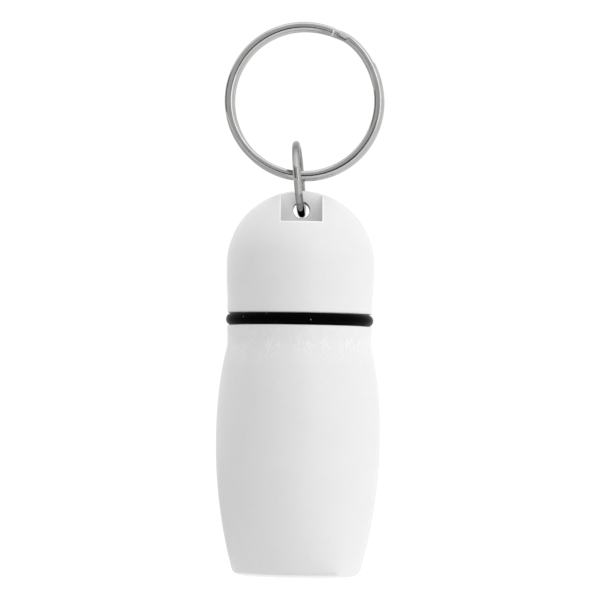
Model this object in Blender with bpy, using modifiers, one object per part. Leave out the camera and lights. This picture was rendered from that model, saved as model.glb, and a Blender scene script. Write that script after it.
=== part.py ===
"""A keyring pill holder.

A bellied barrel with a neck and a straight bore, a domed cap that goes over the neck, the rubber ring
squeezed between the two, a wire link through the top of the cap and a two-turn split ring in the link.
Metres, +Z up along the barrel, origin at the centre of the flat base, front of the cap towards -Y.
"""

import math

import bmesh
import bpy
from mathutils import Matrix, Vector

# Barrel, from its bore outwards
bore_radius = 0.0070
neck_wall = 0.0015
thread_height = 0.0008
thread_gap = 0.0003
pilot_step = 0.0002
pilot_height = 0.0032
pilot_lead_in = 0.0010
floor_thickness = 0.0022
floor_corner_radius = 0.0015
mouth_edge_radius = 0.0004

# Barrel, outside
shoulder_height = 0.0390
shoulder_edge_radius = 0.0003
waist_inset = 0.00008
waist_band = 0.0016
waist_drop = 0.0030
waist_blend_radius = 0.0080
belly_swell = 0.00156
belly_height = 0.0208
base_draw_in = 0.0030
base_edge_radius = 0.0012
upper_fullness = 2.3
lower_fullness = 1.95

# Seal, as squeezed between the shoulder and the rim
seal_gap = 0.00025
seal_thickness = 0.0013
seal_width = 0.0017
running_gap = 0.0003

# Cap
cap_height = 0.0192
cap_wall = 0.0019
rim_inset = 0.0002
rim_edge_radius = 0.0003
rim_band = 0.0025
taper_height = 0.0030
skirt_bore_depth = 0.0016
roof_thickness = 0.0018
roof_corner_radius = 0.0010

# Pockets and cross hole in the top of the cap
web_thickness = 0.0052
pocket_width = 0.0064
pocket_corner_radius = 0.0002
hole_foot = 0.0007
hole_crown = 0.0018
link_play = 0.0007
foot_gap = 0.0002
link_seat_angle = 10
cut_overrun = 0.0010

# Link of round wire
link_radius = 0.00545
link_wire_radius = 0.0006
link_joint_gap = 0.0002
link_joint_angle = 45
link_turn = -3.5
link_lean = -5.3

# Split ring, one wire in two turns
split_ring_radius = 0.01263
ring_wire_width = 0.00135
ring_wire_thickness = 0.00085
turn_gap = 0.0003
turn_offset = 0.00035
turn_offset_angle = -35
front_end_angle = 66
crossing_start_angle = 414
crossing_end_angle = 426
back_end_angle = 750.5
tail_angle = 30
tail_spring = 0.00015
grip_angle = 267.2
grip_rise = 0.0007
grip_gap = 0.0003
section_fullness = 2.6

# Facets
round_steps = 48
hole_steps = 32
dome_steps = 12
side_steps = 8
edge_steps = 3
seal_steps = 10
link_points = 40
link_bevel_steps = 2
turn_points = 40
crossing_points = 6
section_points = 10
smooth_angle = 35
weld_distance = 0.00001

# Radii and heights that follow from the sizes above
neck_radius = bore_radius + neck_wall
pilot_radius = neck_radius + thread_height + pilot_step
skirt_bore_radius = pilot_radius + running_gap
cap_bore_radius = neck_radius + thread_height + thread_gap
dome_radius = cap_bore_radius + cap_wall
rim_radius = dome_radius - rim_inset
shoulder_radius = rim_radius
waist_radius = shoulder_radius - waist_inset
belly_radius = waist_radius + belly_swell
base_radius = belly_radius - base_draw_in
waist_height = shoulder_height - waist_drop
rim_height = shoulder_height + seal_thickness + 2 * seal_gap
apex_height = rim_height + cap_height
dome_centre_height = apex_height - dome_radius
neck_top_height = dome_centre_height
hole_radius = link_wire_radius + link_play
ledge_height = apex_height - hole_crown - 2 * hole_radius - hole_foot
hole_height = ledge_height + hole_foot + hole_radius
roof_height = ledge_height - roof_thickness
seat_reach = hole_radius - foot_gap - link_wire_radius
link_foot_side = seat_reach * math.sin(math.radians(link_seat_angle))
link_foot_height = hole_height - seat_reach * math.cos(math.radians(link_seat_angle))
turn_radius = split_ring_radius - turn_offset / 2 - ring_wire_width / 2
turn_spacing = ring_wire_thickness + turn_gap


def clear_scene():
    for obj in list(bpy.data.objects):
        bpy.data.objects.remove(obj)


def new_collection(name):
    collection = bpy.data.collections.new(name)
    bpy.context.scene.collection.children.link(collection)
    return collection


def surface(name, colour, roughness, metallic):
    material = bpy.data.materials.new(name)
    material.use_nodes = True
    shader = material.node_tree.nodes["Principled BSDF"]
    shader.inputs["Base Color"].default_value = (*colour, 1)
    shader.inputs["Roughness"].default_value = roughness
    shader.inputs["Metallic"].default_value = metallic
    return material


def add_object(name, data, collection, material=None):
    obj = bpy.data.objects.new(name, data)
    collection.objects.link(obj)
    if material:
        data.materials.append(material)
    return obj


def add_pivot(name, collection, location):
    """An empty on a joint's axis."""
    pivot = add_object(name, None, collection)
    pivot.location = location
    pivot.empty_display_size = link_radius
    return pivot


def keep_under(parent, child):
    """Parents the child and leaves it where it is."""
    bpy.context.view_layer.update()
    child.parent = parent
    child.matrix_parent_inverse = parent.matrix_world.inverted()


def rounded(before, corner, after, radius, steps=edge_steps):
    """Points of the arc that rounds a corner of a profile, no longer than the straights beside it."""
    corner, before, after = Vector(corner), Vector(before), Vector(after)
    back = (before - corner).normalized()
    on = (after - corner).normalized()
    half_angle = back.angle(on) / 2
    reach_share = 0.48
    reach = min(
        radius / math.tan(half_angle),
        reach_share * (before - corner).length,
        reach_share * (after - corner).length,
    )
    centre = corner + (back + on).normalized() * (reach / math.cos(half_angle))
    first = corner + back * reach - centre
    last = corner + on * reach - centre
    sweep = -first.angle_signed(last)
    return [tuple(centre + Matrix.Rotation(sweep * i / steps, 2) @ first) for i in range(steps + 1)]


def side_curve(height_from, height_to, radius_to, fullness):
    """The barrel's side from the belly to one end, falling away faster towards that end."""
    points = []
    for i in range(side_steps):
        share = i / side_steps
        radius = belly_radius - (belly_radius - radius_to) * share**fullness
        points.append((radius, height_from + (height_to - height_from) * share))
    return points


def barrel_profile():
    floor_corner = (bore_radius, floor_thickness)
    mouth_inner = (bore_radius, neck_top_height)
    mouth_outer = (neck_radius, neck_top_height)
    pilot_top_height = shoulder_height + pilot_height
    neck_foot = (neck_radius, pilot_top_height + pilot_lead_in)
    pilot_top = (pilot_radius, pilot_top_height)
    pilot_foot = (pilot_radius, shoulder_height)
    shoulder_corner = (shoulder_radius, shoulder_height)
    waist_top = (waist_radius, shoulder_height - waist_band)
    waist_foot = (waist_radius, waist_height)
    upper_side = side_curve(belly_height, waist_height, waist_radius, upper_fullness)
    lower_side = side_curve(belly_height, 0, base_radius, lower_fullness)
    base_corner = (base_radius, 0)
    return (
        [(0, floor_thickness)]
        + rounded((0, floor_thickness), floor_corner, mouth_inner, floor_corner_radius)
        + rounded(floor_corner, mouth_inner, mouth_outer, mouth_edge_radius)
        + rounded(mouth_inner, mouth_outer, neck_foot, mouth_edge_radius)
        + [neck_foot, pilot_top, pilot_foot]
        + rounded(pilot_foot, shoulder_corner, waist_top, shoulder_edge_radius)
        + [waist_top]
        + rounded(waist_top, waist_foot, upper_side[-1], waist_blend_radius)
        + upper_side[::-1]
        + lower_side[1:]
        + rounded(lower_side[-1], base_corner, (0, 0), base_edge_radius)
        + [(0, 0)]
    )


def dome_arc(radius, low_angle, high_angle, steps):
    points = []
    for i in range(steps + 1):
        angle = high_angle + (low_angle - high_angle) * i / steps
        points.append((radius * math.cos(angle), dome_centre_height + radius * math.sin(angle)))
    return points


def cap_profile():
    apex = (0, apex_height)
    rim_band_top = rim_height + rim_band
    rim_outer = (rim_radius, rim_height)
    rim_inner = (skirt_bore_radius, rim_height)
    skirt_top = rim_height + skirt_bore_depth
    roof_angle = math.asin((roof_height - dome_centre_height) / cap_bore_radius)
    roof_corner = (cap_bore_radius * math.cos(roof_angle), roof_height)
    inner_dome = dome_arc(cap_bore_radius, 0, roof_angle, edge_steps)[::-1]
    outer_dome = dome_arc(dome_radius, 0, math.pi / 2, dome_steps)[1:]
    return (
        [apex]
        + outer_dome
        + [(dome_radius, rim_band_top + taper_height), (rim_radius, rim_band_top)]
        + rounded((rim_radius, rim_band_top), rim_outer, rim_inner, rim_edge_radius)
        + rounded(rim_outer, rim_inner, (skirt_bore_radius, skirt_top), rim_edge_radius)
        + [(skirt_bore_radius, skirt_top)]
        + [(cap_bore_radius, skirt_top + skirt_bore_radius - cap_bore_radius)]
        + inner_dome[:-1]
        + rounded(inner_dome[-2], roof_corner, (0, roof_height), roof_corner_radius)
        + [(0, roof_height)]
    )


def seal_profile():
    """An oval, run clockwise so that its outer side goes down."""
    centre_radius = pilot_radius + running_gap + seal_width / 2
    centre_height = shoulder_height + seal_gap + seal_thickness / 2
    points = []
    for i in range(seal_steps):
        angle = -math.tau * i / seal_steps
        radius = centre_radius + seal_width / 2 * math.cos(angle)
        points.append((radius, centre_height + seal_thickness / 2 * math.sin(angle)))
    return points


def turned(name, profile, collection, material, closed=False):
    """A solid of revolution: the profile turned about Z."""
    mesh = bpy.data.meshes.new(name)
    form = bmesh.new()
    corners = [form.verts.new((radius, 0, height)) for radius, height in profile]
    for first, second in zip(corners, corners[1:]):
        form.edges.new((first, second))
    if closed:
        form.edges.new((corners[-1], corners[0]))
    form.to_mesh(mesh)
    form.free()
    obj = add_object(name, mesh, collection, material)
    screw = obj.modifiers.new("turn", "SCREW")
    screw.axis = "Z"
    screw.steps = round_steps
    screw.render_steps = round_steps
    screw.use_smooth_shade = True
    screw.use_merge_vertices = True
    screw.merge_threshold = weld_distance
    return obj


def as_mesh(obj, collection, material=None):
    """Makes the object's evaluated shape a mesh object with the same name and place."""
    bpy.context.view_layer.update()
    graph = bpy.context.evaluated_depsgraph_get()
    mesh = bpy.data.meshes.new_from_object(obj.evaluated_get(graph))
    form = bmesh.new()
    form.from_mesh(mesh)
    bmesh.ops.remove_doubles(form, verts=form.verts, dist=weld_distance)
    bmesh.ops.recalc_face_normals(form, faces=form.faces)
    form.to_mesh(mesh)
    form.free()
    name = obj.name
    matrix = obj.matrix_world.copy()
    bpy.data.objects.remove(obj)
    mesh.materials.clear()
    made = add_object(name, mesh, collection, material)
    made.matrix_world = matrix
    return made


def shade_round(obj):
    obj.data.shade_smooth()
    obj.data.set_sharp_from_angle(angle=math.radians(smooth_angle))


def hide_cutter(obj, collection):
    for owner in list(obj.users_collection):
        owner.objects.unlink(obj)
    collection.objects.link(obj)
    obj.hide_render = True
    obj.display_type = "WIRE"


def pocket_cutter(side, collection):
    """The block that cuts one pocket of the dome, in front of the web or behind it."""
    depth = dome_radius + cut_overrun - web_thickness / 2
    height = apex_height + cut_overrun - ledge_height
    bpy.ops.mesh.primitive_cube_add(size=1)
    cutter = bpy.context.object
    cutter.name = "cut_pocket_front" if side < 0 else "cut_pocket_back"
    cutter.scale = (pocket_width, depth, height)
    bpy.ops.object.transform_apply(location=False, rotation=False, scale=True)
    cutter.location = (0, side * (web_thickness / 2 + depth / 2), ledge_height + height / 2)
    bevel = cutter.modifiers.new("corners", "BEVEL")
    bevel.width = pocket_corner_radius
    bevel.segments = 2
    hide_cutter(cutter, collection)
    return cutter


def hole_cutter(collection):
    bpy.ops.mesh.primitive_cylinder_add(
        vertices=hole_steps,
        radius=hole_radius,
        depth=web_thickness + 2 * cut_overrun,
        location=(0, 0, hole_height),
        rotation=(math.pi / 2, 0, 0),
    )
    cutter = bpy.context.object
    cutter.name = "cut_link_hole"
    hide_cutter(cutter, collection)
    return cutter


def cut_away(obj, cutter):
    cut = obj.modifiers.new(cutter.name, "BOOLEAN")
    cut.operation = "DIFFERENCE"
    cut.solver = "EXACT"
    cut.object = cutter


def add_barrel(collection, material):
    barrel = as_mesh(turned("barrel", barrel_profile(), collection, None), collection, material)
    shade_round(barrel)
    return barrel


def add_cap(collection, cutters, material):
    cap = as_mesh(turned("cap", cap_profile(), collection, None), collection, material)
    for cutter in (pocket_cutter(-1, cutters), pocket_cutter(1, cutters), hole_cutter(cutters)):
        cut_away(cap, cutter)
    shade_round(cap)
    return cap


def add_seal(collection, material):
    seal = turned("seal_ring", seal_profile(), collection, None, closed=True)
    seal = as_mesh(seal, collection, material)
    shade_round(seal)
    return seal


def add_wire(name, points, collection, material):
    """A curve object through the points, straight between them."""
    curve = bpy.data.curves.new(name, "CURVE")
    curve.dimensions = "3D"
    curve.use_fill_caps = True
    spline = curve.splines.new("POLY")
    spline.points.add(len(points) - 1)
    for point, place in zip(spline.points, points):
        point.co = (*place, 1)
    spline.use_smooth = True
    return add_object(name, curve, collection, material)


def add_link(collection, material):
    """An open ring in its own YZ plane, its butt joint low in front. Its lowest point is the pivot,
    which rests a little to one side in the hole."""
    pivot = add_pivot("link_pivot", collection, (link_foot_side, 0, link_foot_height))
    pivot.rotation_euler = (0, math.radians(link_lean), math.radians(link_turn))
    joint = math.radians(link_joint_angle)
    half_gap = link_joint_gap / 2 / link_radius
    points = []
    for i in range(link_points + 1):
        angle = joint + half_gap + (math.tau - 2 * half_gap) * i / link_points
        depth = -link_radius * math.sin(angle)
        points.append((0, depth, link_radius - link_radius * math.cos(angle)))
    link = add_wire("link", points, collection, material)
    link.data.bevel_depth = link_wire_radius
    link.data.bevel_resolution = link_bevel_steps
    link.parent = pivot
    return link, pivot


def ring_angles():
    """Even steps round the front turn, finer ones over the crossing, and even ones round the back turn."""
    stretches = (
        (front_end_angle, crossing_start_angle, turn_points),
        (crossing_start_angle, crossing_end_angle, crossing_points),
        (crossing_end_angle, back_end_angle, turn_points),
    )
    angles = [front_end_angle]
    for first, last, count in stretches:
        angles += [first + (last - first) * (i + 1) / count for i in range(count)]
    return angles


def ring_centre_line():
    """The split ring's wire in the plane XY about the ring's centre, its front turn at the higher Z.
    The two turns are set off from each other sideways, and the back one's tail springs outwards."""
    offset = Vector((turn_offset, 0)) / 2
    offset.rotate(Matrix.Rotation(math.radians(turn_offset_angle), 2))
    points = []
    for degrees in ring_angles():
        crossed = (degrees - crossing_start_angle) / (crossing_end_angle - crossing_start_angle)
        crossed = min(max(crossed, 0), 1)
        layer = 1 - 2 * (3 * crossed**2 - 2 * crossed**3)
        tail = max(0, 1 - (back_end_angle - degrees) / tail_angle)
        spoke = Matrix.Rotation(math.radians(degrees), 2) @ Vector((1, 0))
        place = spoke * (turn_radius + tail_spring * tail**2) - offset * layer
        points.append(Vector((*place, layer * turn_spacing / 2)))
    return points


def wire_section(collection):
    """The flattened wire's outline, a rounded oblong, as the guide that the ring's curve follows."""
    curve = bpy.data.curves.new("ring_section", "CURVE")
    curve.dimensions = "2D"
    spline = curve.splines.new("POLY")
    spline.points.add(section_points - 1)
    spline.use_cyclic_u = True
    for i, point in enumerate(spline.points):
        angle = math.tau * (i + 0.5) / section_points
        cosine, sine = math.cos(angle), math.sin(angle)
        reach = (abs(cosine) ** section_fullness + abs(sine) ** section_fullness) ** (
            -1 / section_fullness
        )
        across = ring_wire_width / 2 * reach * cosine
        point.co = (across, ring_wire_thickness / 2 * reach * sine, 0, 1)
    guide = add_object("ring_section", curve, collection)
    guide.hide_render = True
    return guide


def grip_place(link_pivot):
    """Where the link holds the split ring: against the back of the link, a little above its middle."""
    bpy.context.view_layer.update()
    inner_radius = link_radius - link_wire_radius
    edge_rise = grip_rise + ring_wire_width / 2
    half_thickness = (turn_spacing + ring_wire_thickness) / 2
    depth = math.sqrt(inner_radius**2 - edge_rise**2) - grip_gap - half_thickness
    return link_pivot.matrix_world @ Vector((0, depth, link_radius + grip_rise))


def add_split_ring(link_pivot, collection, cutters, material):
    grip = math.radians(grip_angle)
    grip_point = Vector((turn_radius * math.cos(grip), turn_radius * math.sin(grip), 0))
    points = [point - grip_point for point in ring_centre_line()]
    wire = add_wire("split_ring", points, collection, None)
    wire.data.twist_mode = "Z_UP"
    wire.data.bevel_mode = "OBJECT"
    wire.data.bevel_object = wire_section(cutters)
    wire.location = grip_place(link_pivot)
    wire.rotation_euler = (math.pi / 2, 0, 0)
    ring = as_mesh(wire, collection, material)
    shade_round(ring)
    pivot = add_pivot("split_ring_pivot", collection, ring.location)
    keep_under(pivot, ring)
    return ring, pivot


def main():
    clear_scene()
    parts = new_collection("pill_holder")
    cutters = new_collection("cutters")
    plastic = surface("white_plastic", (0.86, 0.86, 0.86), 0.42, 0)
    rubber = surface("black_rubber", (0.02, 0.02, 0.02), 0.55, 0)
    steel = surface("plated_steel", (0.62, 0.61, 0.6), 0.22, 1)

    add_barrel(parts, plastic)
    seal = add_seal(parts, rubber)
    cap = add_cap(parts, cutters, plastic)
    link, link_pivot = add_link(parts, steel)
    ring, ring_pivot = add_split_ring(link_pivot, parts, cutters, steel)

    turn_pivot = add_pivot("cap_turn_pivot", parts, (0, 0, shoulder_height))
    keep_under(turn_pivot, seal)
    keep_under(turn_pivot, cap)
    keep_under(cap, link_pivot)
    keep_under(link_pivot, ring_pivot)


main()
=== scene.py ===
"""The looks of the keyring pill holder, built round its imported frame.

Finely turned plastic with its screw thread, the rubber seal, the wire link and the wound split ring,
each with a finish of its own, and a pale floor, soft light and a camera at the photograph's angle.
Metres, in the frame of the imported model: +Z up along the barrel, front towards -Y.
"""

import math

import bmesh
import bpy
from mathutils import Matrix, Vector


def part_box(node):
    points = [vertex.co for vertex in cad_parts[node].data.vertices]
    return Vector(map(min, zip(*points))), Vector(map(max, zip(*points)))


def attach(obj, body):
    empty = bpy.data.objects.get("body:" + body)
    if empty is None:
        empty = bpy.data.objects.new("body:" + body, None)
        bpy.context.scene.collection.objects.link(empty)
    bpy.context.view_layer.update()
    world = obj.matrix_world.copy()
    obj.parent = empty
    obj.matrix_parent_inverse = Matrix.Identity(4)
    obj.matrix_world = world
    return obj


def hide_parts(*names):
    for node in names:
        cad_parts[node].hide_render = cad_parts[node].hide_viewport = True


# The frame's own places
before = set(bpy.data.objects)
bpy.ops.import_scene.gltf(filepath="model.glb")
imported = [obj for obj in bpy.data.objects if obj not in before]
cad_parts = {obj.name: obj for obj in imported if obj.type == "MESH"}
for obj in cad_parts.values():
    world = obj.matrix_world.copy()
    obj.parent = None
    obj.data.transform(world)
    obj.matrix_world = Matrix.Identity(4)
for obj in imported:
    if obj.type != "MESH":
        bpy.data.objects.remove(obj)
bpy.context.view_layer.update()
barrel_low, barrel_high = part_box("barrel")
cap_low, cap_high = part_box("cap")
seal_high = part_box("seal_ring")[1]

# Barrel
bore_radius = 0.0070
neck_wall = 0.0015
thread_height = 0.0008
thread_gap = 0.0003
pilot_step = 0.0002
pilot_height = 0.0032
pilot_lead_in = 0.0010
floor_thickness = 0.0022
floor_corner_radius = 0.0015
mouth_edge_radius = 0.0004
shoulder_height = 0.03889
shoulder_edge_radius = 0.00012
waist_inset = 0.00008
waist_band = 0.0016
waist_drop = 0.0030
waist_blend_radius = 0.0080
belly_height = 0.0208
base_draw_in = 0.0030
base_edge_radius = 0.0015
upper_fullness = 2.3
lower_fullness = 1.95

# Cap
cap_wall = 0.0019
rim_inset = 0.0002
rim_edge_radius = 0.0003
rim_band = 0.0025
taper_height = 0.0030
skirt_bore_depth = 0.0016
roof_thickness = 0.0018
roof_corner_radius = 0.0010
running_gap = 0.0003
web_thickness = 0.0052
pocket_width = 0.0064
hole_foot = 0.0007
hole_crown = 0.0018
link_play = 0.0007
foot_gap = 0.0002
link_seat_angle = 10
cut_overrun = 0.0010
cut_edge_radius = 0.00012
cut_edge_steps = 2
web_edge_radius = 0.0005
hole_edge_radius = 0.00004
hole_edge_steps = 3
weld_distance = 0.000002
shortest_bevelled_edge = 0.00002

# Painted shade and highlights on the cap, and tool marks on the barrel
hole_shade_start = 0.00002
hole_shade_fade = 0.00008
edge_highlight_start = 0.00005
edge_highlight_full = 0.00010
edge_highlight_width = 0.00030
face_slack = 0.00003
waist_mark_height = 0.0361
waist_mark_reach = 0.0040

# Screw thread
thread_lead = 0.0030
thread_turns = 1.2
thread_fade_turns = 0.12
thread_start_drop = 0.0041
thread_root_half = 0.00062
thread_crest_half = 0.00030
thread_root_sink = 0.00006
thread_least_rise = 0.04
thread_edge_share = 0.1
thread_flat_share = 0.7
cap_thread_turn = 0.25

# Seal, squeezed until it nearly fills the groove
seal_width = 0.0017
seal_slit = 0.00004

# Link
link_radius = 0.00545
link_wire_radius = 0.0006
link_joint_gap = 0.00008
link_joint_angle = 45
link_turn = -3.5
link_lean = -5.3
link_end_radius = 0.00012
# Painted shade on the link low down and on its wire's flanks, a painted dark reflection round its arch, and
# an even tarnish
link_unshaded_height = 0.0584
link_low_shade_fade = 0.0014
link_low_shade_share = 0.3
link_arch_shade_depth = 0.0045
link_arch_shade_share = 0.45
link_tarnish_share = 0.08
link_flank_shade_share = 0.28
link_flank_shade_start = 0.5
link_flank_shade_fade = 0.35

# Split ring
split_ring_radius = 0.0126
ring_wire_width = 0.00142
cad_wire_width = 0.00135
ring_wire_thickness = 0.00092
turn_gap = 0.00004
turn_offset = 0.00031
turn_offset_angle = -35
front_end_angle = 66
crossing_start_angle = 414.5
crossing_end_angle = 426.5
crossing_bend_share = 0.15
bulge_angle = 411
bulge_half_angle = 34
bulge_reach = 0.0002
back_end_angle = 752.5
tail_angle = 30
tail_spring = 0.00015
grip_angle = 267.2
grip_rise = 0.0007
grip_gap = 0.0003
cad_ring_thickness = 0.0020
cad_turn_offset = 0.00035
wire_nose = 0.0005
wire_tip_share = 0.08
section_fullness = 2.8
# Painted shade along the crease where the back turn shows beside the front turn
crease_side_share = 0.15
crease_rise_share = 0.8
crease_fade_share = 0.4
crease_shade_share = 0.3

# Facets, and how much of a straight the rounding of its corner may take
corner_reach_share = 0.48
turned_steps = 192
edge_steps = 5
side_steps = 24
rounded_side_steps = 3
dome_steps = 40
hole_steps = 64
seal_steps = 40
thread_steps = 180
link_steps = 200
turn_steps = 260
crossing_steps = 24
nose_steps = 8
wire_sides = 28
smooth_angle = 40

# Camera, as the photograph's
photo_size = 600
photo_scale = 0.00015605
aim_column = 299.95
aim_height = 0.04298
camera_height = 0.0250
camera_distance = 0.640
camera_azimuth = -0.5
camera_roll = 0.86
sensor_width = 36

# Stage
floor_radius = 6
floor_sides = 96
floor_drop = 0.00002
floor_grey = 0.02
floor_roughness = 0.9
surround_glow = 1.02
card_lift = 0.0004

# Light cards: name, azimuth, elevation, distance, width, height, glow and whether it lies on the floor
cards = (
    ("left_card", -65, -6, 1.0, 1.15, 1.2, 0.22, False),
    ("front_card", -17, 6, 1.3, 1.6, 1.4, 0.6, False),
    ("strip_card", 25, 8, 1.1, 0.24, 1.0, 1.95, False),
    ("low_left_card", -80, 0, 0.28, 0.52, 0.9, 0.65, True),
    ("near_floor_card", -52, 0, 0.033, 0.065, 0.06, 0.83, True),
    ("top_card", 10, 62, 1.0, 0.9, 0.9, 1.35, False),
    ("camera_card", 3.8, 1.05, 0.6, 0.12, 0.108, 0.01, False),
)

# Greys and colours
white = (1, 1, 1, 1)
black = (0, 0, 0, 1)
plastic_dark_grey = 0.806
plastic_light_grey = 0.836
tool_mark_grey = 0.95
# Painted highlight beside the pockets, painted light and shade on the web, and painted shade in the hole
edge_highlight_grey = 0.98
web_foot_shade_grey = 0.8
web_top_lit_grey = 0.97
hole_shade_grey = 0.012
rubber_grey = 0.001
speck_grey = 0.4
dull_steel = (0.44, 0.44, 0.435, 1)
bright_steel = (0.6, 0.6, 0.595, 1)
# Painted shade, with some even tarnish, on the wire
shade_and_tarnish_grey = 0.02

# Gloss: a finish's roughness runs between two values, dulled by its noise
plastic_shine = 0.5
plastic_coat = 0.5
plastic_coat_roughness = 0.3
plastic_roughness = (0.36, 0.5)
rubber_shine = 0.01
rubber_sheen = 0.45
rubber_sheen_roughness = 0.25
rubber_roughness = (0.35, 0.55)
steel_roughness = (0.05, 0.15)

# Noises: scale, detail and, for the steel's patches, roughness
plastic_clouds = (220, 3)
plastic_mottle = (1500, 3)
plastic_dulling = (700, 4)
plastic_grain = (6000, 2)
tool_mark_lines = (4600, 4)
tool_mark_patches = (420, 2)
rubber_specks = (1400, 2)
rubber_dulling = (900, 3)
rubber_grain = (5000, 2)
steel_patches = (500, 4, 0.6)
steel_drawing = (1, 3)
steel_dents = (1500, 3)

# How far a noise is stretched along each axis, and the part of its range that is used
tool_mark_stretch = (1, 1, 0.26)
drawing_stretch = (150, 12000, 1)
noise_range = (0.3, 0.7)
tool_mark_range = (0.43, 0.6)
patch_range = (0.4, 0.6)
speck_range = (0.74, 0.78)
patch_least_share = 0.25
tool_mark_share = 0.7
# Strength of the painted highlight beside the pockets
edge_highlight_share = 0.8

# Bumps: strength and depth
plastic_grain_bump = (0.15, 0.00001)
tool_mark_bump = (0.5, 0.00004)
rubber_grain_bump = (0.2, 0.00001)
drawing_bump = (0.15, 0.000004)
dent_bump = (0.1, 0.00002)

# Radii and heights that follow
neck_radius = bore_radius + neck_wall
pilot_radius = neck_radius + thread_height + pilot_step
skirt_bore_radius = pilot_radius + running_gap
cap_bore_radius = neck_radius + thread_height + thread_gap
dome_radius = cap_bore_radius + cap_wall
rim_radius = dome_radius - rim_inset
shoulder_radius = rim_radius
waist_radius = shoulder_radius - waist_inset
belly_radius = barrel_high.x
base_radius = belly_radius - base_draw_in
waist_height = shoulder_height - waist_drop
neck_top_height = barrel_high.z
rim_height = cap_low.z
apex_height = cap_high.z
dome_centre_height = apex_height - dome_radius
hole_radius = link_wire_radius + link_play
ledge_height = apex_height - hole_crown - 2 * hole_radius - hole_foot
hole_height = ledge_height + hole_foot + hole_radius
roof_height = ledge_height - roof_thickness
seat_reach = hole_radius - foot_gap - link_wire_radius
link_foot_side = seat_reach * math.sin(math.radians(link_seat_angle))
link_foot_height = hole_height - seat_reach * math.cos(math.radians(link_seat_angle))
turn_radius = split_ring_radius - turn_offset / 2 - ring_wire_width / 2
turn_spacing = ring_wire_thickness + turn_gap


def rounded(before, corner, after, radius):
    """Points of the arc that rounds a corner of a profile, no longer than the straights beside it."""
    corner, before, after = Vector(corner), Vector(before), Vector(after)
    back = (before - corner).normalized()
    on = (after - corner).normalized()
    half_angle = back.angle(on) / 2
    reach = min(
        radius / math.tan(half_angle),
        corner_reach_share * (before - corner).length,
        corner_reach_share * (after - corner).length,
    )
    centre = corner + (back + on).normalized() * (reach / math.cos(half_angle))
    first = corner + back * reach - centre
    last = corner + on * reach - centre
    sweep = -first.angle_signed(last)
    turns = [Matrix.Rotation(sweep * i / edge_steps, 2) for i in range(edge_steps + 1)]
    return [tuple(centre + turn @ first) for turn in turns]


def side_curve(height_from, height_to, radius_to, fullness):
    """The barrel's side from the belly to one end, falling away faster towards that end."""
    points = []
    for i in range(side_steps):
        share = i / side_steps
        radius = belly_radius - (belly_radius - radius_to) * share**fullness
        points.append((radius, height_from + (height_to - height_from) * share))
    return points


def barrel_profile():
    floor_corner = (bore_radius, floor_thickness)
    mouth_inner = (bore_radius, neck_top_height)
    mouth_outer = (neck_radius, neck_top_height)
    pilot_top_height = shoulder_height + pilot_height
    neck_foot = (neck_radius, pilot_top_height + pilot_lead_in)
    pilot_top = (pilot_radius, pilot_top_height)
    pilot_foot = (pilot_radius, shoulder_height)
    shoulder_corner = (shoulder_radius, shoulder_height)
    waist_top = (waist_radius, shoulder_height - waist_band)
    waist_foot = (waist_radius, waist_height)
    upper_side = side_curve(belly_height, waist_height, waist_radius, upper_fullness)
    lower_side = side_curve(belly_height, 0, base_radius, lower_fullness)
    return (
        [(0, floor_thickness)]
        + rounded((0, floor_thickness), floor_corner, mouth_inner, floor_corner_radius)
        + rounded(floor_corner, mouth_inner, mouth_outer, mouth_edge_radius)
        + rounded(mouth_inner, mouth_outer, neck_foot, mouth_edge_radius)
        + rounded(mouth_outer, neck_foot, pilot_top, mouth_edge_radius)
        + rounded(neck_foot, pilot_top, pilot_foot, mouth_edge_radius)
        + [pilot_foot]
        + rounded(pilot_foot, shoulder_corner, waist_top, shoulder_edge_radius)
        + [waist_top]
        + rounded(waist_top, waist_foot, upper_side[-rounded_side_steps], waist_blend_radius)
        + upper_side[:-rounded_side_steps][::-1]
        + lower_side[1:-rounded_side_steps]
        + rounded(lower_side[-rounded_side_steps], (base_radius, 0), (0, 0), base_edge_radius)
        + [(0, 0)]
    )


def dome_arc(radius, top_angle, steps):
    """Points of an arc about the dome's centre, from this angle down to the level of the centre."""
    points = []
    for i in range(steps + 1):
        angle = top_angle - top_angle * i / steps
        points.append((radius * math.cos(angle), dome_centre_height + radius * math.sin(angle)))
    return points


def cap_profile():
    rim_band_top = rim_height + rim_band
    taper_top = (dome_radius, rim_band_top + taper_height)
    taper_foot = (rim_radius, rim_band_top)
    rim_outer = (rim_radius, rim_height)
    rim_inner = (skirt_bore_radius, rim_height)
    skirt_top = (skirt_bore_radius, rim_height + skirt_bore_depth)
    bore_foot = (cap_bore_radius, skirt_top[1] + skirt_bore_radius - cap_bore_radius)
    roof_angle = math.asin((roof_height - dome_centre_height) / cap_bore_radius)
    roof_corner = (cap_bore_radius * math.cos(roof_angle), roof_height)
    inner_dome = dome_arc(cap_bore_radius, roof_angle, edge_steps)[::-1]
    outer_dome = dome_arc(dome_radius, math.pi / 2, dome_steps)[1:]
    return (
        [(0, apex_height)]
        + outer_dome
        + rounded(outer_dome[-1], taper_top, taper_foot, waist_blend_radius)
        + rounded(taper_top, taper_foot, rim_outer, waist_blend_radius)
        + rounded(taper_foot, rim_outer, rim_inner, rim_edge_radius)
        + rounded(rim_outer, rim_inner, skirt_top, rim_edge_radius)
        + [skirt_top, bore_foot]
        + inner_dome[:-1]
        + rounded(inner_dome[-2], roof_corner, (0, roof_height), roof_corner_radius)
        + [(0, roof_height)]
    )


def seal_profile():
    """A full oval, run clockwise so that its outer side goes down."""
    centre_height = (shoulder_height + rim_height) / 2
    half_height = (rim_height - shoulder_height) / 2 - seal_slit
    points = []
    for i in range(seal_steps):
        angle = -math.tau * i / seal_steps
        radius = seal_high.x - seal_width / 2 + seal_width / 2 * math.cos(angle)
        points.append((radius, centre_height + half_height * math.sin(angle)))
    return points


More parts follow.
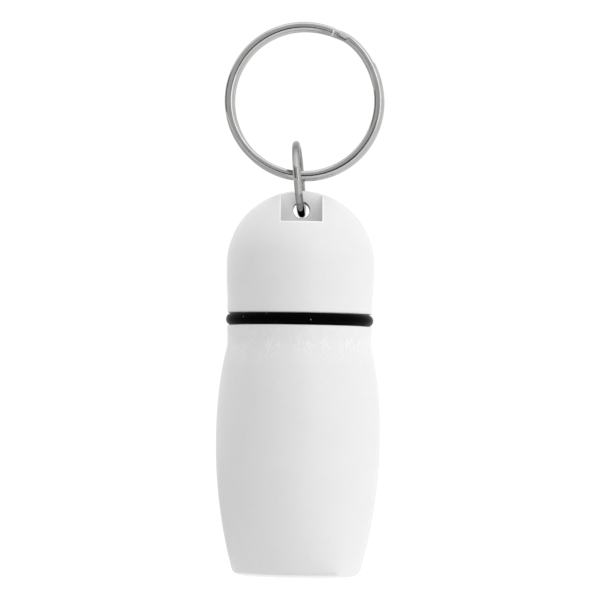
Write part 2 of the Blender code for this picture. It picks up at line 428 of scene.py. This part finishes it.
def shade_round(mesh):
    """Smooth shading, except where the surface turns sharply."""
    mesh.shade_smooth()
    mesh.set_sharp_from_angle(angle=math.radians(smooth_angle))


def new_object(name, form):
    """A piece from a bmesh, its normals out."""
    bmesh.ops.recalc_face_normals(form, faces=form.faces)
    mesh = bpy.data.meshes.new(name)
    form.to_mesh(mesh)
    form.free()
    shade_round(mesh)
    obj = bpy.data.objects.new(name, mesh)
    bpy.context.scene.collection.objects.link(obj)
    return obj


def turned(profile, closed=False):
    """A bmesh of the profile turned about Z."""
    form = bmesh.new()
    rows = []
    for radius, height in profile:
        if radius == 0:
            rows.append([form.verts.new((0, 0, height))] * turned_steps)
            continue
        row = []
        for i in range(turned_steps):
            angle = math.tau * i / turned_steps
            row.append(form.verts.new((radius * math.cos(angle), radius * math.sin(angle), height)))
        rows.append(row)
    if closed:
        rows.append(rows[0])
    for upper, lower in zip(rows, rows[1:]):
        for i in range(turned_steps):
            j = (i + 1) % turned_steps
            corners = dict.fromkeys((upper[i], lower[i], lower[j], upper[j]))
            form.faces.new(list(corners))
    return form


def lofted(rows, painted_shade_and_tarnish=None):
    """A bmesh skinned over rows of points, closed round each row and capped at both ends.

    Its UV map runs from row to row in U and round them in V, in metres. Painted shade with some tarnish is
    a share for each point.
    """
    form = bmesh.new()
    along = form.loops.layers.uv.new("wire")
    shade_and_tarnish_layer = form.verts.layers.float.new("painted_shade_and_tarnish")
    made = [[form.verts.new(point) for point in row] for row in rows]
    for k, shares in enumerate(painted_shade_and_tarnish or []):
        for vert, share in zip(made[k], shares):
            vert[shade_and_tarnish_layer] = share
    sides = len(rows[0])
    run = 0
    for k in range(len(rows) - 1):
        step = (Vector(rows[k + 1][0]) - Vector(rows[k][0])).length
        around = 0
        for i in range(sides):
            j = (i + 1) % sides
            width = (Vector(rows[k][j]) - Vector(rows[k][i])).length
            face = form.faces.new((made[k][i], made[k][j], made[k + 1][j], made[k + 1][i]))
            far_run, far_around = run + step, around + width
            corners = ((run, around), (run, far_around), (far_run, far_around), (far_run, around))
            for loop, place in zip(face.loops, corners):
                loop[along].uv = place
            around = far_around
        run += step
    form.faces.new(made[0][::-1])
    form.faces.new(made[-1])
    return form


def add_barrel(material):
    barrel = new_object("barrel_shell", turned(barrel_profile()))
    barrel.data.materials.append(material)
    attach(barrel, "barrel")
    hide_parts("barrel")


def cut_box(name, low, high):
    form = bmesh.new()
    bmesh.ops.create_cube(form, size=1)
    low, high = Vector(low), Vector(high)
    size = high - low
    bmesh.ops.scale(form, vec=size, verts=form.verts)
    bmesh.ops.translate(form, vec=(low + high) / 2, verts=form.verts)
    return new_object(name, form)


def cut_hole():
    form = bmesh.new()
    bmesh.ops.create_cone(
        form,
        cap_ends=True,
        segments=hole_steps,
        radius1=hole_radius,
        radius2=hole_radius,
        depth=web_thickness + 2 * cut_overrun,
    )
    bmesh.ops.rotate(form, matrix=Matrix.Rotation(math.pi / 2, 3, "X"), verts=form.verts)
    bmesh.ops.translate(form, vec=(0, 0, hole_height), verts=form.verts)
    return new_object("hole_cut", form)


def apply_modifiers(obj):
    bpy.context.view_layer.update()
    graph = bpy.context.evaluated_depsgraph_get()
    mesh = bpy.data.meshes.new_from_object(obj.evaluated_get(graph))
    obj.modifiers.clear()
    obj.data = mesh


def cut_rim(form):
    """The sharp outside edges that the pockets and the hole have cut."""
    rim = []
    for edge in form.edges:
        if len(edge.link_faces) != 2 or edge.calc_length() < shortest_bevelled_edge:
            continue
        if min(vert.co.z for vert in edge.verts) < ledge_height - weld_distance:
            continue
        if edge.calc_face_angle_signed(0) > math.radians(smooth_angle):
            rim.append(edge)
    return rim


def on_web_top(edge):
    """Whether the edge lies along the top of the web's face, above the hole."""
    on_face = all(abs(abs(vert.co.y) - web_thickness / 2) < weld_distance for vert in edge.verts)
    hole_top_height = hole_height + hole_radius + weld_distance
    return on_face and min(vert.co.z for vert in edge.verts) > hole_top_height


def on_hole_rim(edge):
    """Whether the edge lies round an end of the cross hole."""
    reach = hole_radius + weld_distance
    return all(math.hypot(vert.co.x, vert.co.z - hole_height) < reach for vert in edge.verts)


def soften_cut_edges(cap):
    """Bevels the rims that the pockets and the hole have cut, widest along the top of the web."""
    form = bmesh.new()
    form.from_mesh(cap.data)
    bmesh.ops.remove_doubles(form, verts=form.verts, dist=weld_distance)
    web_top = [edge for edge in cut_rim(form) if on_web_top(edge)]
    bevel = {"profile": 0.5, "affect": "EDGES", "clamp_overlap": True}
    bmesh.ops.bevel(form, geom=web_top, offset=web_edge_radius, segments=edge_steps, **bevel)
    hole_rim = [edge for edge in cut_rim(form) if on_hole_rim(edge)]
    bmesh.ops.bevel(form, geom=hole_rim, offset=hole_edge_radius, segments=hole_edge_steps, **bevel)
    bmesh.ops.bevel(form, geom=cut_rim(form), offset=cut_edge_radius, segments=cut_edge_steps, **bevel)
    bmesh.ops.remove_doubles(form, verts=form.verts, dist=weld_distance)
    bmesh.ops.recalc_face_normals(form, faces=form.faces)
    form.to_mesh(cap.data)
    form.free()


def add_cap(material):
    cap = new_object("cap_shell", turned(cap_profile()))
    half_width = pocket_width / 2
    half_web = web_thickness / 2
    far = dome_radius + cut_overrun
    top = apex_height + cut_overrun
    cutters = (
        cut_box("front_pocket_cut", (-half_width, -far, ledge_height), (half_width, -half_web, top)),
        cut_box("back_pocket_cut", (-half_width, half_web, ledge_height), (half_width, far, top)),
        cut_hole(),
    )
    for cutter in cutters:
        cut = cap.modifiers.new(cutter.name, "BOOLEAN")
        cut.operation = "DIFFERENCE"
        cut.solver = "EXACT"
        cut.object = cutter
    apply_modifiers(cap)
    for cutter in cutters:
        bpy.data.objects.remove(cutter)
    soften_cut_edges(cap)
    shade_round(cap.data)
    cap.data.materials.clear()
    cap.data.materials.append(material)
    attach(cap, "cap")
    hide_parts("cap")


def add_seal(material):
    seal = new_object("seal_bead", turned(seal_profile(), closed=True))
    seal.data.materials.append(material)
    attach(seal, "seal")
    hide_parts("seal_ring")


def thread_form(root_radius, crest_radius, start_height, start_turn):
    """A helical ridge that rises out of the wall at one end and sinks into it at the other."""
    root = root_radius + (thread_root_sink if crest_radius < root_radius else -thread_root_sink)
    edge_half = thread_crest_half + (thread_root_half - thread_crest_half) * thread_edge_share
    flat_half = thread_crest_half * thread_flat_share
    rows = []
    for k in range(thread_steps + 1):
        turn = thread_turns * k / thread_steps
        to_end = min(turn, thread_turns - turn)
        rise = thread_least_rise + (1 - thread_least_rise) * smoothed(to_end / thread_fade_turns)
        angle = math.tau * (start_turn + turn)
        height = start_height + thread_lead * turn
        crest = root + (crest_radius - root) * rise
        edge = root + (crest - root) * (1 - thread_edge_share)
        outline = (
            (root, -thread_root_half),
            (edge, -edge_half),
            (crest, -flat_half),
            (crest, flat_half),
            (edge, edge_half),
            (root, thread_root_half),
        )
        row = []
        for radius, lift in outline:
            row.append((radius * math.cos(angle), radius * math.sin(angle), height + lift))
        rows.append(row)
    return lofted(rows)


def add_threads(material):
    """The neck's ridge and the cap's, both right-handed. The cap's starts a quarter turn back and a
    quarter of the lead up, which puts the two half a lead apart."""
    neck_start = neck_top_height - thread_start_drop
    cap_start = neck_start + thread_lead * cap_thread_turn
    neck_form = thread_form(neck_radius, neck_radius + thread_height, neck_start, 0)
    cap_form = thread_form(cap_bore_radius, cap_bore_radius - thread_height, cap_start, -cap_thread_turn)
    neck_thread = new_object("neck_thread", neck_form)
    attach(neck_thread, "barrel")
    cap_thread = new_object("cap_thread", cap_form)
    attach(cap_thread, "cap")
    for thread in (neck_thread, cap_thread):
        thread.data.materials.append(material)


def link_matrix():
    turn = Matrix.Rotation(math.radians(link_turn), 4, "Z")
    lean = Matrix.Rotation(math.radians(link_lean), 4, "Y")
    return Matrix.Translation((link_foot_side, 0, link_foot_height)) @ turn @ lean


def smoothed(share):
    """An eased 0 to 1."""
    share = min(max(share, 0), 1)
    return share * share * (3 - 2 * share)


def ramped(share, bend):
    """0 to 1 on an even slope, eased over the bend's share at both ends."""
    share = min(max(share, 0), 1)
    if share < bend:
        return share * share / (2 * bend * (1 - bend))
    if share > 1 - bend:
        return 1 - (1 - share) ** 2 / (2 * bend * (1 - bend))
    return (share - bend / 2) / (1 - bend)


def wire_fullness(run, length, nose):
    """How full the wire's section is at a place along it, where both of its ends are rounded off."""
    to_end = min(run, length - run)
    if to_end >= nose:
        return 1
    share = 1 - to_end / nose
    return max(wire_tip_share, math.sqrt(max(0, 1 - share * share)))


def nose_runs(nose):
    """Places along a rounded end, closest together at its tip."""
    return [nose * (1 - math.cos(math.pi / 2 * i / nose_steps)) for i in range(nose_steps)]


def link_runs(length):
    """Places along the link's wire, finer at both of its ends."""
    first = nose_runs(link_end_radius)
    straight = length - 2 * link_end_radius
    middle = [link_end_radius + straight * i / link_steps for i in range(link_steps + 1)]
    return first + middle + [length - run for run in first[::-1]]


def link_section(angle, wire):
    """The link's round section at an angle round its ring, with this wire radius."""
    section = []
    for i in range(wire_sides):
        around = math.tau * i / wire_sides
        reach = link_radius + wire * math.cos(around)
        height = link_radius - reach * math.cos(angle)
        section.append(Vector((wire * math.sin(around), -reach * math.sin(angle), height)))
    return section


def link_shade_and_tarnish(row, top_height):
    """Painted shade on the wire's flanks and low down, and a painted dark reflection round the link's arch,
    over an even tarnish, at each point of a row.
    """
    shares = []
    for i, point in enumerate(row):
        aside = math.sin(math.tau * i / wire_sides)
        low = smoothed((link_unshaded_height - point.z) / link_low_shade_fade)
        high = smoothed(1 - (top_height - point.z) / link_arch_shade_depth)
        flank = smoothed((abs(aside) - link_flank_shade_start) / link_flank_shade_fade)
        tarnish_and_shade = link_tarnish_share + link_flank_shade_share * flank + link_arch_shade_share * high
        shares.append(min(tarnish_and_shade + link_low_shade_share * low, 1))
    return shares


def add_link(material):
    """An open ring of round wire, its butt joint low in front."""
    joint = math.radians(link_joint_angle)
    length = math.tau * link_radius - link_joint_gap
    to_world = link_matrix()
    top_height = (to_world @ Vector((0, 0, 2 * link_radius + link_wire_radius))).z
    rows = []
    painted_shade_and_tarnish = []
    for run in link_runs(length):
        angle = joint + (link_joint_gap / 2 + run) / link_radius
        inset = link_end_radius * (1 - wire_fullness(run, length, link_end_radius))
        row = [to_world @ point for point in link_section(angle, link_wire_radius - inset)]
        rows.append(row)
        painted_shade_and_tarnish.append(link_shade_and_tarnish(row, top_height))
    link = new_object("link_wire", lofted(rows, painted_shade_and_tarnish))
    link.data.materials.append(material)
    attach(link, "link")
    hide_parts("link")


def ring_place(degrees):
    """The split ring's wire centre at an angle, in the ring's plane, its front turn at the higher Z."""
    crossed = (degrees - crossing_start_angle) / (crossing_end_angle - crossing_start_angle)
    layer = 1 - 2 * ramped(crossed, crossing_bend_share)
    bulge = bulge_reach * smoothed(1 - abs(degrees - bulge_angle) / bulge_half_angle)
    tail = max(0, 1 - (back_end_angle - degrees) / tail_angle)
    spoke = Matrix.Rotation(math.radians(degrees), 2) @ Vector((1, 0))
    offset = Matrix.Rotation(math.radians(turn_offset_angle), 2) @ Vector((turn_offset / 2, 0))
    place = spoke * (turn_radius + tail_spring * tail**2 + bulge) - offset * layer
    return Vector((*place, layer * turn_spacing / 2))


def ring_angles():
    """Finer steps at both ends and over the crossing, even ones elsewhere."""
    nose_angle = math.degrees(wire_nose / turn_radius)
    first, last = front_end_angle, back_end_angle
    fades = nose_runs(nose_angle)
    angles = [first + fade for fade in fades]
    for start, end, steps in (
        (first + nose_angle, crossing_start_angle, turn_steps),
        (crossing_start_angle, crossing_end_angle, crossing_steps),
        (crossing_end_angle, last - nose_angle, turn_steps),
    ):
        angles += [start + (end - start) * i / steps for i in range(steps)]
    return angles + [last - nose_angle] + [last - fade for fade in fades[::-1]]


def ring_matrix():
    """Where the link holds the split ring: against the back of the link, a little above its middle."""
    inner_radius = link_radius - link_wire_radius
    grip_reach = split_ring_radius - cad_turn_offset / 2 - cad_wire_width / 2
    edge_rise = grip_rise + cad_wire_width / 2
    depth = math.sqrt(inner_radius**2 - edge_rise**2) - grip_gap - cad_ring_thickness / 2
    place = link_matrix() @ Vector((0, depth, link_radius + grip_rise))
    grip = math.radians(grip_angle)
    grip_point = Vector((grip_reach * math.cos(grip), grip_reach * math.sin(grip), 0))
    upright = Matrix.Rotation(math.pi / 2, 4, "X")
    return Matrix.Translation(place) @ upright @ Matrix.Translation(-grip_point)


def crease_painted_shade(degrees, layer):
    """Painted shade round the front turn's section, on the edge where the back turn shows beside it."""
    aside = math.cos(math.radians(degrees - turn_offset_angle))
    shares = []
    for i in range(wire_sides):
        angle = math.tau * (i + 0.5) / wire_sides
        towards_crease = smoothed((aside * math.cos(angle) - crease_side_share) / crease_fade_share)
        low = smoothed((crease_rise_share - math.sin(angle)) / crease_fade_share)
        shares.append(crease_shade_share * towards_crease * low * max(layer, 0))
    return shares


def ring_section(place, tangent, size):
    """The flattened wire's section round a place, across its tangent, at a share of its full size."""
    across = tangent.cross(Vector((0, 0, 1))).normalized()
    up = across.cross(tangent)
    section = []
    for i in range(wire_sides):
        angle = math.tau * (i + 0.5) / wire_sides
        cosine, sine = math.cos(angle), math.sin(angle)
        fullness = abs(cosine) ** section_fullness + abs(sine) ** section_fullness
        reach = size * fullness ** (-1 / section_fullness)
        aside = across * (ring_wire_width / 2 * reach * cosine)
        section.append(place + aside + up * (ring_wire_thickness / 2 * reach * sine))
    return section


def add_split_ring(material):
    """Two turns of a flattened wire, crossing from front to back beside the front end."""
    to_world = ring_matrix()
    angles = ring_angles()
    places = [ring_place(angle) for angle in angles]
    runs = [0]
    for here, there in zip(places, places[1:]):
        runs.append(runs[-1] + (there - here).length)
    rows = []
    painted_shade_and_tarnish = []
    for k, place in enumerate(places):
        before, after = places[max(k - 1, 0)], places[min(k + 1, len(places) - 1)]
        tangent = (after - before).normalized()
        size = wire_fullness(runs[k], runs[-1], wire_nose)
        rows.append([to_world @ point for point in ring_section(place, tangent, size)])
        painted_shade_and_tarnish.append(crease_painted_shade(angles[k], place.z / (turn_spacing / 2)))
    ring = new_object("split_ring_wire", lofted(rows, painted_shade_and_tarnish))
    ring.data.materials.append(material)
    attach(ring, "split_ring")
    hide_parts("split_ring")


def grey(value):
    return (value, value, value, 1)


class Finish:
    """A material whose nodes are added one call at a time."""

    def __init__(self, name):
        self.material = bpy.data.materials.new(name)
        self.material.use_nodes = True
        self.nodes = self.material.node_tree.nodes
        self.links = self.material.node_tree.links
        self.shader = self.nodes["Principled BSDF"]

    def set(self, **values):
        for name, value in values.items():
            self.shader.inputs[name.replace("_", " ")].default_value = value

    def node(self, kind, values=None, **settings):
        node = self.nodes.new(kind)
        for name, value in settings.items():
            setattr(node, name, value)
        for name, value in (values or {}).items():
            if isinstance(value, bpy.types.NodeSocket):
                self.links.new(value, node.inputs[name])
            else:
                node.inputs[name].default_value = value
        return node

    def join(self, output, name):
        self.links.new(output, self.shader.inputs[name])

    def place(self):
        return self.node("ShaderNodeTexCoord").outputs["Object"]

    def axes(self, place):
        return self.node("ShaderNodeSeparateXYZ", {0: place}).outputs

    def noise(self, place, scale, detail, roughness=0.5):
        values = {"Vector": place, "Scale": scale, "Detail": detail, "Roughness": roughness}
        return self.node("ShaderNodeTexNoise", values).outputs["Fac"]

    def stretched(self, place, scale):
        return self.node("ShaderNodeMapping", {"Vector": place, "Scale": scale}).outputs["Vector"]

    def ranged(self, value, low, high, start, end):
        """Low where the value is at its start, high where it is at its end."""
        values = {"Value": value, "From Min": start, "From Max": end, "To Min": low, "To Max": high}
        return self.node("ShaderNodeMapRange", values, clamp=True).outputs["Result"]

    def maths(self, operation, first, second=0):
        return self.node("ShaderNodeMath", {0: first, 1: second}, operation=operation).outputs[0]

    def product(self, first, *others):
        for other in others:
            first = self.maths("MULTIPLY", first, other)
        return first

    def mixed(self, share, first, second):
        """A mix of two colours, which the mix node has as its inputs 6 and 7 and its output 2."""
        values = {0: share, 6: first, 7: second}
        return self.node("ShaderNodeMix", values, data_type="RGBA").outputs[2]

    def bumped(self, heights):
        """Chains bumps, each (height, strength, distance)."""
        normal = None
        for height, strength, distance in heights:
            values = {"Height": height, "Strength": strength, "Distance": distance}
            if normal:
                values["Normal"] = normal
            normal = self.node("ShaderNodeBump", values).outputs["Normal"]
        self.join(normal, "Normal")


def hole_painted_shade(finish, place):
    """Painted shade on the hole's wall, fading out just past its edge."""
    axes = finish.axes(place)
    across = finish.maths("POWER", axes["X"], 2)
    up = finish.maths("POWER", finish.maths("SUBTRACT", axes["Z"], hole_height), 2)
    reach = finish.maths("SQRT", finish.maths("ADD", across, up))
    return finish.ranged(reach, 1, 0, hole_radius + hole_shade_start, hole_radius + hole_shade_fade)


def edge_painted_highlight(finish, place):
    """A painted highlight: a paler band on the dome, beside each pocket's walls and under its ledge."""
    axes = finish.axes(place)
    ahead = finish.maths("ABSOLUTE", axes["Y"])
    at_pocket = finish.ranged(ahead, 0, 1, web_thickness / 2 - web_edge_radius, web_thickness / 2)
    aside = finish.maths("SUBTRACT", finish.maths("ABSOLUTE", axes["X"]), pocket_width / 2)
    under = finish.maths("SUBTRACT", ledge_height, axes["Z"])
    away = finish.maths("MAXIMUM", aside, under)
    outside = finish.ranged(away, 0, 1, 0, edge_highlight_start)
    near = finish.ranged(away, 1, 0, edge_highlight_full, edge_highlight_width)
    return finish.product(outside, near, at_pocket)


def web_face(finish, place):
    """Two shares for painted light and shade: 1 on the web's two faces and their rounded top edges, and 0
    to 1 up them.
    """
    axes = finish.axes(place)
    aside = finish.maths("ABSOLUTE", axes["X"])
    ahead = finish.maths("ABSOLUTE", axes["Y"])
    between = finish.maths("LESS_THAN", aside, pocket_width / 2 - face_slack)
    behind = finish.maths("LESS_THAN", ahead, web_thickness / 2 + face_slack)
    above = finish.maths("GREATER_THAN", axes["Z"], ledge_height - face_slack)
    edge_foot = web_thickness / 2 - web_edge_radius
    on_face = finish.ranged(ahead, 0, 1, edge_foot - web_edge_radius, edge_foot)
    inside = finish.product(between, behind, above, on_face)
    raised = finish.ranged(axes["Z"], 0, 1, ledge_height, apex_height - 2 * web_edge_radius)
    return inside, raised


def tool_marks(finish, place):
    """Fine upright marks, in patches, that fade out above and below the waist."""
    lines = finish.noise(finish.stretched(place, tool_mark_stretch), *tool_mark_lines)
    patches = finish.noise(place, *tool_mark_patches)
    patch = finish.ranged(patches, patch_least_share, 1, *patch_range)
    from_waist = finish.maths("SUBTRACT", finish.axes(place)["Z"], waist_mark_height)
    near_waist = finish.ranged(finish.maths("ABSOLUTE", from_waist), 1, 0, 0, waist_mark_reach)
    return finish.product(near_waist, patch, finish.ranged(lines, 0, 1, *tool_mark_range))


def mottled(finish, place):
    """The plastic's own colour, from the mean of a coarse noise and a fine one."""
    clouds = finish.noise(place, *plastic_clouds)
    mottle = finish.noise(place, *plastic_mottle)
    mean = finish.maths("DIVIDE", finish.maths("ADD", clouds, mottle), 2)
    share = finish.ranged(mean, 0, 1, *noise_range)
    return finish.mixed(share, grey(plastic_dark_grey), grey(plastic_light_grey))


def white_plastic():
    """Satin moulded plastic: faintly mottled, with fine upright tool marks in a paler band at the waist,
    painted shade in the hole and at the web's foot, painted light at the web's top and a painted highlight
    beside the pockets.
    """
    finish = Finish("white_plastic_moulded")
    finish.set(Specular_IOR_Level=plastic_shine)
    finish.set(Coat_Weight=plastic_coat, Coat_Roughness=plastic_coat_roughness)
    place = finish.place()
    marks = tool_marks(finish, place)
    marked = finish.maths("MULTIPLY", marks, tool_mark_share)
    colour = finish.mixed(marked, mottled(finish, place), grey(tool_mark_grey))
    # Painted highlight along the pockets' edges on the dome
    painted_highlight = finish.maths("MULTIPLY", edge_painted_highlight(finish, place), edge_highlight_share)
    colour = finish.mixed(painted_highlight, colour, grey(edge_highlight_grey))
    # Painted shade at the foot of the web's faces and painted light at their tops
    on_web, raised = web_face(finish, place)
    web_painted_light = finish.mixed(finish.maths("POWER", raised, 2), grey(web_foot_shade_grey), grey(web_top_lit_grey))
    colour = finish.mixed(on_web, colour, web_painted_light)
    # Painted shade on the hole's wall
    colour = finish.mixed(hole_painted_shade(finish, place), colour, grey(hole_shade_grey))
    finish.join(colour, "Base Color")
    dulling = finish.noise(place, *plastic_dulling)
    finish.join(finish.ranged(dulling, *plastic_roughness, *noise_range), "Roughness")
    grain = finish.noise(place, *plastic_grain)
    finish.bumped(((grain, *plastic_grain_bump), (marks, *tool_mark_bump)))
    return finish.material


def black_rubber():
    """Satin rubber with a pale sheen at grazing angles and sparse pale specks."""
    finish = Finish("black_rubber_seal")
    finish.set(Specular_IOR_Level=rubber_shine)
    finish.set(Sheen_Weight=rubber_sheen, Sheen_Roughness=rubber_sheen_roughness)
    place = finish.place()
    specks = finish.ranged(finish.noise(place, *rubber_specks), 0, 1, *speck_range)
    finish.join(finish.mixed(specks, grey(rubber_grey), grey(speck_grey)), "Base Color")
    dulling = finish.noise(place, *rubber_dulling)
    finish.join(finish.ranged(dulling, *rubber_roughness, *noise_range), "Roughness")
    grain = finish.noise(place, *rubber_grain)
    finish.bumped(((grain, *rubber_grain_bump),))
    return finish.material


def plated_steel():
    """Bright plating on drawn wire: duller in patches, darker where each point carries painted shade and
    tarnish, finely lined along it and slightly dented."""
    finish = Finish("plated_spring_steel")
    finish.set(Metallic=1)
    wire = finish.node("ShaderNodeUVMap", uv_map="wire").outputs["UV"]
    place = finish.place()
    colour = finish.mixed(finish.noise(place, *steel_patches), dull_steel, bright_steel)
    # Each point's share of painted shade and tarnish darkens the wire
    painted_shade_and_tarnish = finish.node("ShaderNodeAttribute", attribute_name="painted_shade_and_tarnish").outputs["Fac"]
    finish.join(finish.mixed(painted_shade_and_tarnish, colour, grey(shade_and_tarnish_grey)), "Base Color")
    drawn = finish.noise(finish.stretched(wire, drawing_stretch), *steel_drawing)
    finish.join(finish.ranged(drawn, *steel_roughness, *noise_range), "Roughness")
    dents = finish.noise(place, *steel_dents)
    finish.bumped(((drawn, *drawing_bump), (dents, *dent_bump)))
    return finish.material


def add_stage():
    """A pale floor under a white surround."""
    form = bmesh.new()
    bmesh.ops.create_circle(form, cap_ends=True, segments=floor_sides, radius=floor_radius)
    floor = new_object("floor", form)
    floor.location = (0, 0, barrel_low.z - floor_drop)
    finish = Finish("pale_floor")
    finish.set(Base_Color=grey(floor_grey), Roughness=floor_roughness, Specular_IOR_Level=0)
    finish.set(Emission_Color=white, Emission_Strength=surround_glow)
    floor.data.materials.append(finish.material)

    world = bpy.data.worlds.new("white_surround")
    world.use_nodes = True
    background = world.node_tree.nodes["Background"]
    background.inputs["Color"].default_value = white
    background.inputs["Strength"].default_value = surround_glow
    bpy.context.scene.world = world
    bpy.context.scene.view_settings.view_transform = "Standard"


def add_card(name, azimuth, elevation, distance, width, height, glow, lying):
    """A plain card, unseen by the camera, that faces the holder or lies on the floor. Its azimuth
    and elevation are in degrees, its other sizes in metres, and its glow is 1 for plain white."""
    form = bmesh.new()
    bmesh.ops.create_grid(form, x_segments=1, y_segments=1, size=0.5)
    card = new_object(name, form)
    card.scale = (width, height, 1)
    around, above = math.radians(azimuth), math.radians(elevation)
    level = math.cos(above)
    away = Vector((math.sin(around) * level, -math.cos(around) * level, math.sin(above)))
    card.location = Vector((0, 0, aim_height)) + away * distance
    if lying:
        card.location.z = card_lift
    else:
        card.rotation_euler = away.to_track_quat("Z", "Y").to_euler()
    finish = Finish(name)
    finish.set(Base_Color=black, Roughness=1, Specular_IOR_Level=0)
    finish.set(Emission_Color=white, Emission_Strength=glow)
    card.data.materials.append(finish.material)
    card.visible_camera = False


def add_camera():
    camera = bpy.data.objects.new("camera", bpy.data.cameras.new("camera"))
    bpy.context.scene.collection.objects.link(camera)
    camera.data.sensor_width = sensor_width
    camera.data.lens = sensor_width * camera_distance / (photo_size * photo_scale)
    around = math.radians(camera_azimuth)
    right = Vector((math.cos(around), math.sin(around), 0))
    back = Vector((math.sin(around), -math.cos(around), 0))
    aim = Vector((0, 0, aim_height)) + right * ((photo_size / 2 - aim_column) * photo_scale)
    eye = aim + back * camera_distance
    eye.z = camera_height
    camera.location = eye
    facing = (eye - aim).to_track_quat("Z", "Y")
    roll = Matrix.Rotation(math.radians(camera_roll), 3, "Z").to_quaternion()
    camera.rotation_mode = "QUATERNION"
    camera.rotation_quaternion = facing @ roll
    bpy.context.scene.camera = camera


def main():
    plastic = white_plastic()
    steel = plated_steel()
    add_barrel(plastic)
    add_cap(plastic)
    add_threads(plastic)
    add_seal(black_rubber())
    add_link(steel)
    add_split_ring(steel)
    add_stage()
    for card in cards:
        add_card(*card)
    add_camera()


main()
